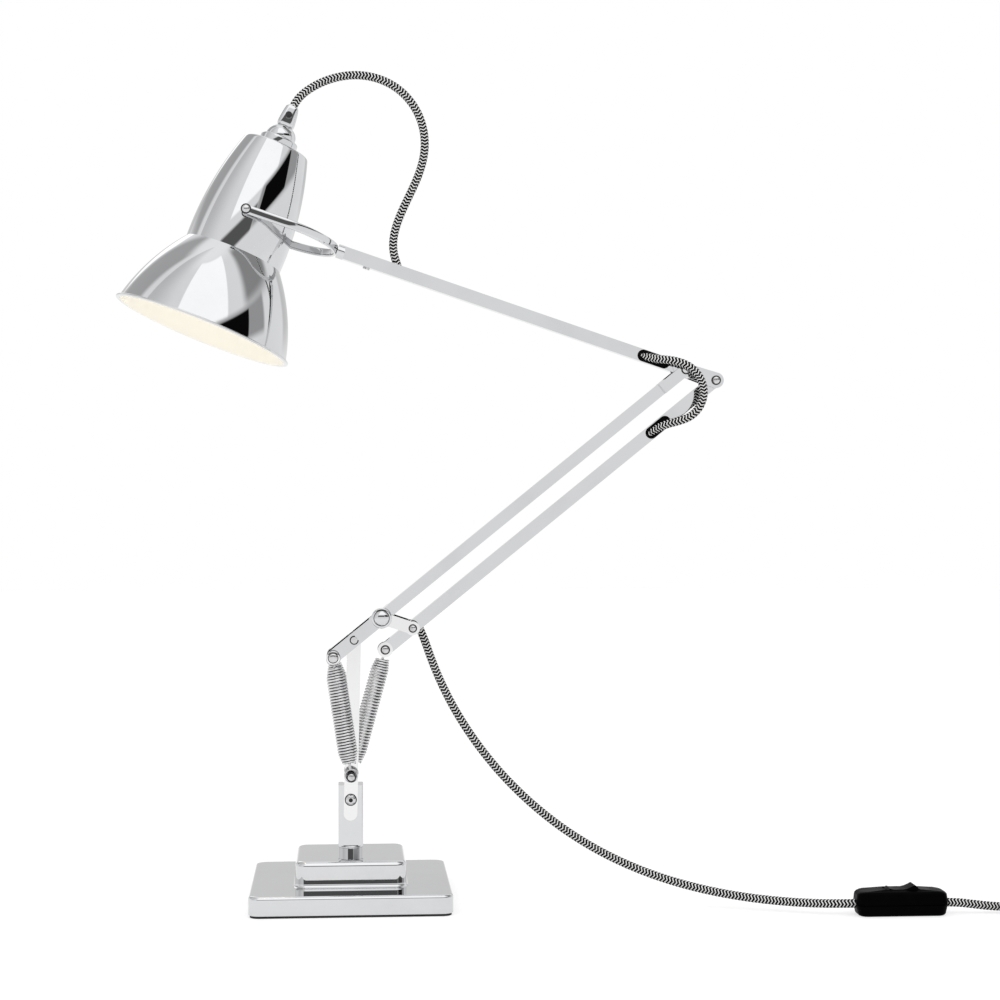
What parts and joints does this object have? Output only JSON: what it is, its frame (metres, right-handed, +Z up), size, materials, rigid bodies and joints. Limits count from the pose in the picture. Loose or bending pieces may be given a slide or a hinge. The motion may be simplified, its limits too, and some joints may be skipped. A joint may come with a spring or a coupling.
{
  "type": "architect lamp",
  "caption": "Chromed spring-balanced desk lamp with a stepped square base, a parallelogram arm, a bell shade on a wishbone fork and a braided cord with inline switch and coiled lead.",
  "frame": {"origin": "middle of the base's underside, on the table", "axes": "+X from the base towards the elbow and the switch, +Y away from the viewer of the picture, +Z up along the swivel axis"},
  "size_m": [0.9405, 0.2954, 0.7587],
  "materials": {
    "chrome_plate": "mirror polished",
    "spring_steel": "bright plated wire",
    "bright_steel": "bright turned",
    "cast_weight": "raw cast",
    "black_pad": "matte",
    "braided_cord": "black and white braid",
    "black_plastic": "satin gloss",
    "black_lining": "matte",
    "brass_pins": "polished",
    "holder_plastic": "satin",
    "bulb_glass": "frosted",
    "bulb_metal": "satin"
  },
  "bodies": {
    "base": {"base_cover": "chrome_plate", "base_weight": "cast_weight", "base_pad": "black_pad", "pivot_collar": "chrome_plate", "switch_base": "black_plastic", "switch_cover": "black_plastic", "lead_tail": "braided_cord", "lead_coil": "braided_cord", "coil_tie": "black_lining", "plug_body": "black_plastic", "plug_pins": "brass_pins"},
    "swivel": {"swivel_post": "chrome_plate", "spindle_nut": "bright_steel", "upright_front": "chrome_plate", "upright_back": "chrome_plate", "post_bolt": "chrome_plate", "post_nut": "bright_steel", "spring_anchor_pin": "bright_steel", "spring_foot_hooks": "bright_steel", "outer_spring_front": "spring_steel", "outer_spring_back": "spring_steel", "middle_spring": "spring_steel", "hanging_lead": "braided_cord"},
    "lower_arm": {"lower_arm_cheeks": "chrome_plate", "shoulder_block": "chrome_plate", "shoulder_shaft": "bright_steel", "shoulder_clips": "bright_steel", "tail_pin": "bright_steel", "shoulder_knob": "chrome_plate", "knob_nut": "bright_steel", "lower_arm_tube": "chrome_plate", "lower_arm_clevis": "chrome_plate", "elbow_pin": "bright_steel"},
    "link": {"link_plates": "chrome_plate", "link_pin": "bright_steel"},
    "parallel_bar": {"parallel_bar": "chrome_plate", "bar_grommet": "black_lining", "bar_tail_pin": "bright_steel"},
    "upper_arm": {"upper_arm_tube": "chrome_plate", "elbow_plates": "chrome_plate", "arm_end_pin": "bright_steel", "arm_grommet": "black_lining", "fork_screw": "bright_steel", "elbow_cord": "braided_cord"},
    "fork": {"fork_stem": "chrome_plate", "shade_fork": "chrome_plate", "shade_cord": "braided_cord"},
    "shade": {"shade_shell": "chrome_plate", "shade_pivot_screws": "chrome_plate", "lampholder": "holder_plastic", "holder_cap": "chrome_plate", "cord_clamp": "chrome_plate", "clamp_screw": "bright_steel", "bulb_globe": "bulb_glass", "bulb_cap": "bulb_metal"},
    "outer_spring_tops": {"outer_spring_top_hooks": "bright_steel"},
    "middle_spring_mid": {"middle_spring_plug": "bright_steel"},
    "middle_spring_top": {"middle_spring_top_hook": "bright_steel"},
    "rocker": {"switch_rocker": "black_plastic"}
  },
  "joints": [
    {"name": "swivel", "type": "hinge", "parent": "base", "child": "swivel", "pos_m": [0, 0, 0.05], "axis": [0, 0, 1], "range_deg": [-175, 175], "deforming": ["hanging_lead"]},
    {"name": "shoulder", "type": "hinge", "parent": "swivel", "child": "lower_arm", "pos_m": [0.00305, 0, 0.2373], "axis": [0, -1, 0], "range_deg": [-15, 27], "deforming": ["hanging_lead", "outer_spring_front", "outer_spring_back", "middle_spring", "outer_spring_top_hooks", "middle_spring_top_hook", "middle_spring_plug", "spring_foot_hooks"]},
    {"name": "elbow", "type": "hinge", "parent": "lower_arm", "child": "upper_arm", "pos_m": [0.30825, 0, 0.48489], "axis": [0, 1, 0], "range_deg": [-25, 40], "deforming": ["hanging_lead", "elbow_cord", "middle_spring", "middle_spring_top_hook", "middle_spring_plug", "spring_foot_hooks"]},
    {"name": "link_turn", "type": "hinge", "parent": "lower_arm", "child": "link", "pos_m": [0.0279, 0, 0.25746], "axis": [0, 1, 0], "range_deg": [-25.5, 40.5], "deforming": ["hanging_lead"]},
    {"name": "bar_turn", "type": "hinge", "parent": "upper_arm", "child": "parallel_bar", "pos_m": [0.33669, 0, 0.47532], "axis": [0, 1, 0], "range_deg": [-40.5, 25.5], "deforming": ["hanging_lead", "elbow_cord", "middle_spring_top_hook", "middle_spring_plug"]},
    {"name": "fork_roll", "type": "hinge", "parent": "upper_arm", "child": "fork", "pos_m": [-0.09408, 0, 0.62029], "axis": [-0.9478, 0, 0.319], "range_deg": [-60, 60], "deforming": ["shade_cord"]},
    {"name": "shade_tilt", "type": "hinge", "parent": "fork", "child": "shade", "pos_m": [-0.09408, 0, 0.62029], "axis": [0.0234, -0.9973, 0.0694], "range_deg": [-40, 40], "deforming": ["shade_cord"]},
    {"name": "rocker_press", "type": "hinge", "parent": "base", "child": "rocker", "pos_m": [0.483, -0.109, 0.015], "axis": [0, 1, 0], "range_deg": [0, 8]},
    {"name": "outer_spring_slide", "type": "slide", "parent": "swivel", "child": "outer_spring_tops", "axis": [0.7768, 0, -0.6298], "range_m": [-0.0065, 0.0116], "deforming": ["outer_spring_front", "outer_spring_back", "outer_spring_top_hooks", "spring_foot_hooks"]},
    {"name": "middle_spring_shift", "type": "slide", "parent": "swivel", "child": "middle_spring_mid", "axis": [0.171, 0, 0.9853], "range_m": [-0.008, 0.0142], "deforming": ["middle_spring", "middle_spring_top_hook", "middle_spring_plug", "spring_foot_hooks"]},
    {"name": "middle_spring_stretch", "type": "slide", "parent": "middle_spring_mid", "child": "middle_spring_top", "axis": [-0.4259, 0, -0.9048], "range_m": [-0.0127, 0.0202], "deforming": ["middle_spring", "middle_spring_top_hook", "middle_spring_plug", "spring_foot_hooks"]}
  ],
  "couplings": [
    {"joint": "link_turn", "follows": "elbow", "ratio": 1},
    {"joint": "bar_turn", "follows": "elbow", "ratio": -1},
    {"joint": "outer_spring_slide", "follows": "shoulder", "m_per_rad": 0.0238},
    {"joint": "middle_spring_shift", "follows": "shoulder", "m_per_rad": 0.0292},
    {"joint": "middle_spring_stretch", "follows": "elbow", "m_per_rad": 0.0282}
  ]
}
